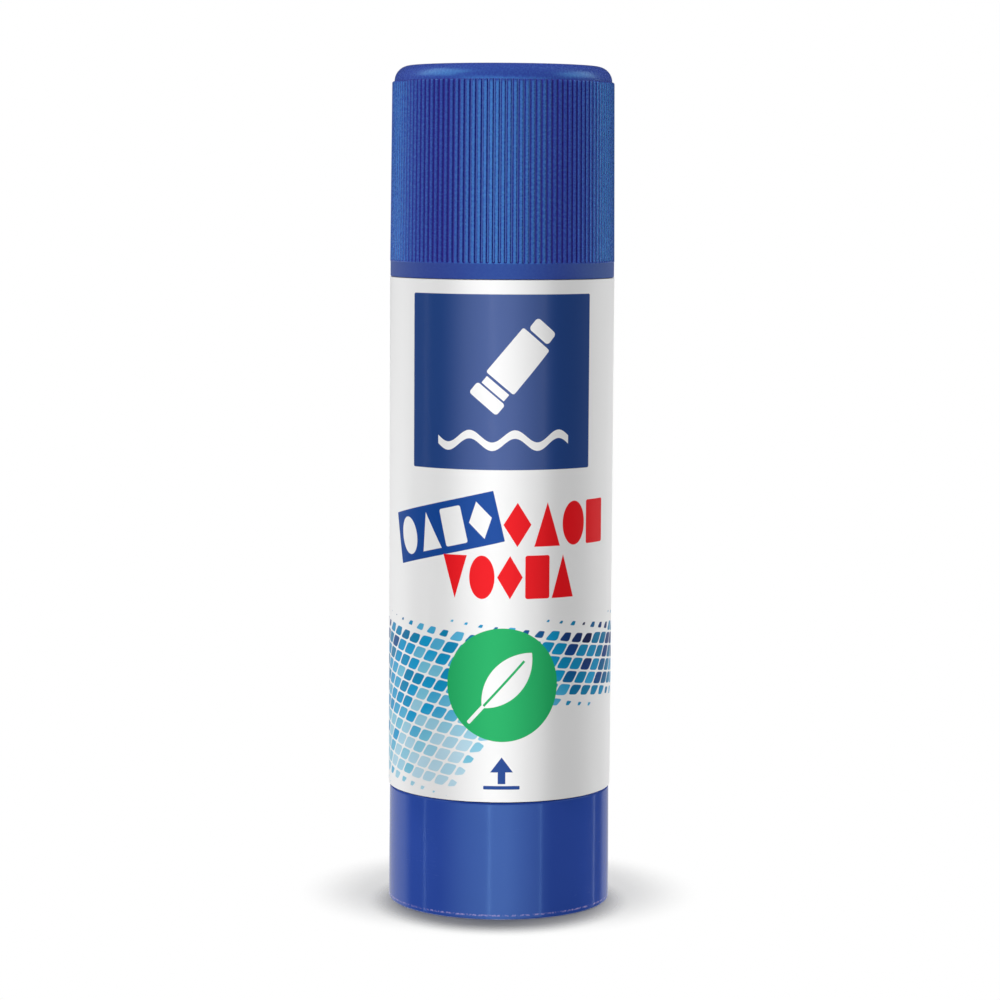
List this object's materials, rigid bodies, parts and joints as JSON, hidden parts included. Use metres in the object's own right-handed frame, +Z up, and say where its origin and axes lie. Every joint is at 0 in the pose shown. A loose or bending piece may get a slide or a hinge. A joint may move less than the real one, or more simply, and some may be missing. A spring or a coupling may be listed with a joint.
{
  "type": "glue stick",
  "caption": "Twist-up glue stick: ribbed push-on cap, labelled round barrel, and a smooth turning knob whose screw raises the glue.",
  "frame": {"origin": "centre of the foot's underside, on the surface the stick stands on", "axes": "+Z up along the stick's axis from the knob to the cap, -Y towards the front of the label, +X to the right of someone who faces the label"},
  "size_m": [0.03, 0.03, 0.1121],
  "materials": {
    "cap_blue": "satin moulded polypropylene",
    "knob_blue": "glossy moulded polypropylene",
    "sleeve_white": "glossy white polypropylene",
    "tube_natural": "natural translucent polypropylene",
    "label_film": "printed glossy film",
    "soft_seal": "soft white elastomer",
    "glue_blue": "waxy semi-translucent blue glue"
  },
  "bodies": {
    "barrel": {"inner_tube": "tube_natural", "outer_sleeve": "sleeve_white", "label": "label_film"},
    "knob": {"base_knob": "knob_blue", "spindle": "tube_natural", "spindle_seal": "soft_seal"},
    "feed": {"carrier": "tube_natural", "glue": "glue_blue"},
    "cap": {"cap_shell": "cap_blue", "cap_seal": "soft_seal"}
  },
  "joints": [
    {"name": "twist", "type": "hinge", "parent": "barrel", "child": "knob", "pos_m": [0, 0, 0.01], "axis": [0, 0, 1], "range_deg": [0, 6840]},
    {"name": "feed_slide", "type": "slide", "parent": "barrel", "child": "feed", "axis": [0, 0, 1], "range_m": [0, 0.076]},
    {"name": "cap_lift", "type": "slide", "parent": "feed", "child": "cap", "axis": [0, 0, 1], "range_m": [0, 0.045]}
  ],
  "couplings": [
    {"joint": "twist", "follows": "feed_slide", "rad_per_m": 1570.8}
  ]
}
